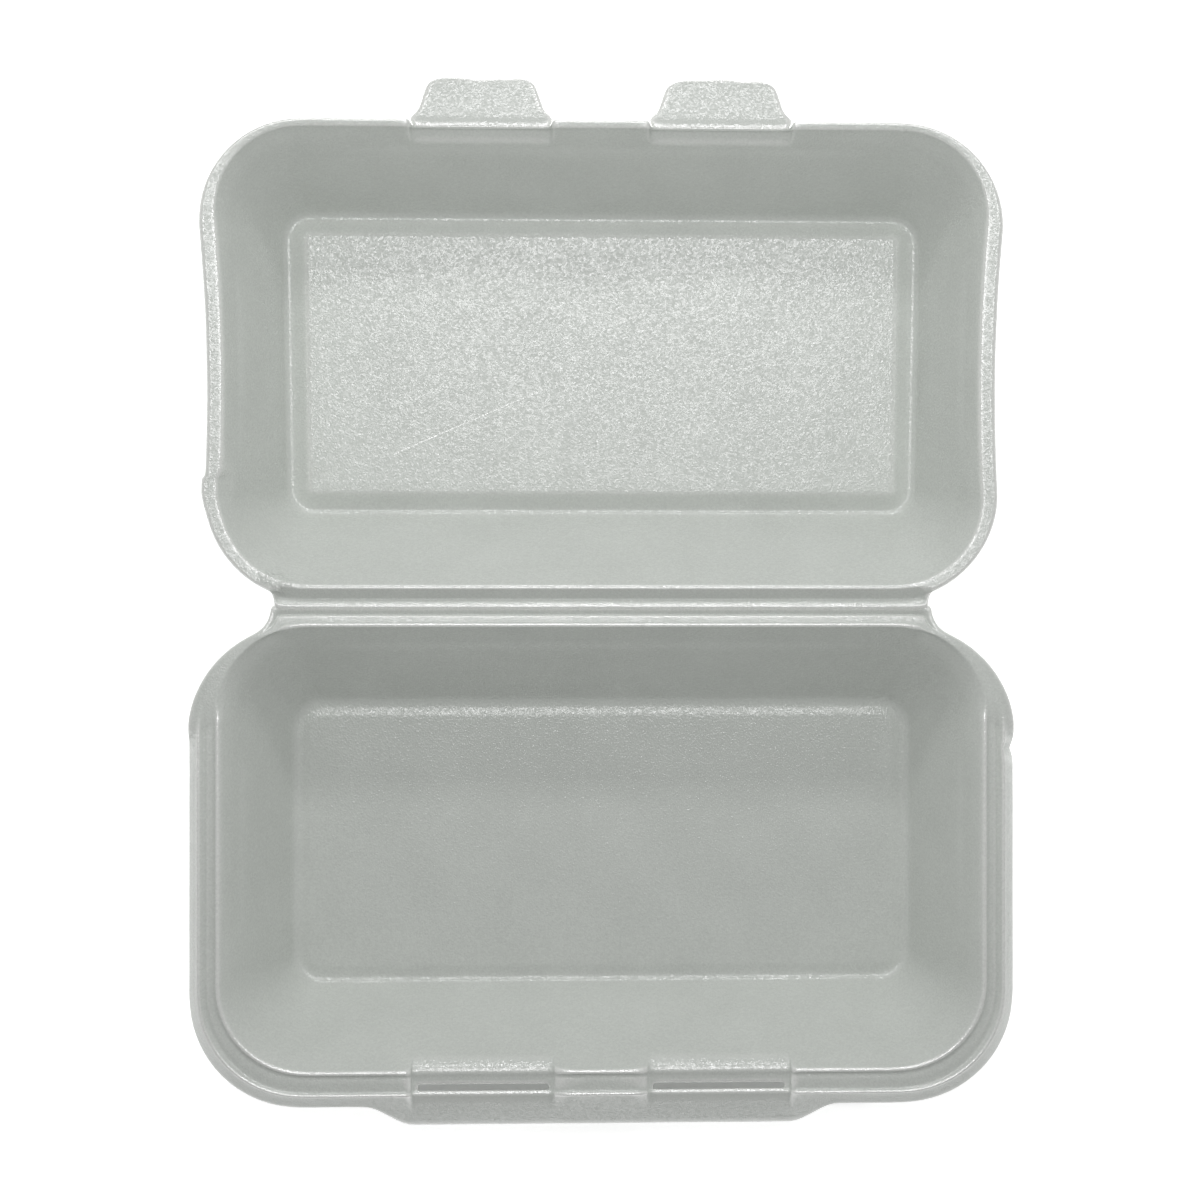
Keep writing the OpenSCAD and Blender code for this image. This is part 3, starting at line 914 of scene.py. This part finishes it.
total = add_node(paper_tree, "ShaderNodeMath", beyond, operation="ADD")
distance = add_node(paper_tree, "ShaderNodeMath", {0: total.outputs[0]}, operation="SQRT")
glow = add_node(
    paper_tree,
    "ShaderNodeMapRange",
    {
        "Value": distance.outputs[0],
        "From Min": SHADE_FROM,
        "From Max": SHADE_TO,
        "To Max": FLOOR_GLOW,
    },
    interpolation_type="SMOOTHSTEP",
)
paper_tree.links.new(glow.outputs[0], paper_shader.inputs["Emission Strength"])
floor.data.materials.append(paper)
print("floor glow:", FLOOR_GLOW)


# %% Light
def soft_light(name, place, size, power):
    bpy.ops.object.select_all(action="DESELECT")
    bpy.ops.object.light_add(type="AREA", location=place)
    light = bpy.context.object
    light.name = name
    light.data.shape = "RECTANGLE"
    light.data.size, light.data.size_y = size
    light.data.energy = power
    print(name, "at", place, "with", power, "W")
    return light


def aim(light, target):
    direction = Vector(target) - light.location
    light.rotation_euler = direction.to_track_quat("-Z", "Y").to_euler()


soft_light("ceiling_light_front", place=(0, 0.24, 0.62), size=(0.46, 0.16), power=1.15)
soft_light("ceiling_light_rear", place=(0, 0.07, 0.62), size=(0.46, 0.07), power=0.44)
window = soft_light("window", place=(0, 0.9, 0.6), size=(0.6, 0.1), power=2.0)
aim(window, target=(0, 0, 0))

# %% Sky
# The sky's strength at the horizon and overhead
SKY_LOW, SKY_HIGH = 0.49, 0.14

world = bpy.data.worlds.new("studio")
bpy.context.scene.world = world
world.use_nodes = True
sky_tree = world.node_tree
sky = sky_tree.nodes["Background"]
sky.inputs["Color"].default_value = WHITE
way = add_node(sky_tree, "ShaderNodeTexCoord").outputs["Generated"]
height = add_node(sky_tree, "ShaderNodeSeparateXYZ", {"Vector": way}).outputs["Z"]
fading = add_node(
    sky_tree, "ShaderNodeMapRange", {"Value": height, "To Min": SKY_LOW, "To Max": SKY_HIGH}
)
sky_tree.links.new(fading.outputs[0], sky.inputs["Strength"])
print("sky from", SKY_LOW, "to", SKY_HIGH)

# %% Camera
CAMERA_PLACE = (-0.0003, 0.0023, 0.655)
LENS_MM, SENSOR_MM = 64.4, 36
NEAREST = 0.01

bpy.ops.object.select_all(action="DESELECT")
bpy.ops.object.camera_add(location=CAMERA_PLACE, rotation=(0, 0, 0))
camera = bpy.context.object
camera.data.lens = LENS_MM
camera.data.sensor_width = SENSOR_MM
camera.data.clip_start = NEAREST
bpy.context.scene.camera = camera
bpy.context.scene.view_settings.view_transform = "Standard"
print("camera at", CAMERA_PLACE)
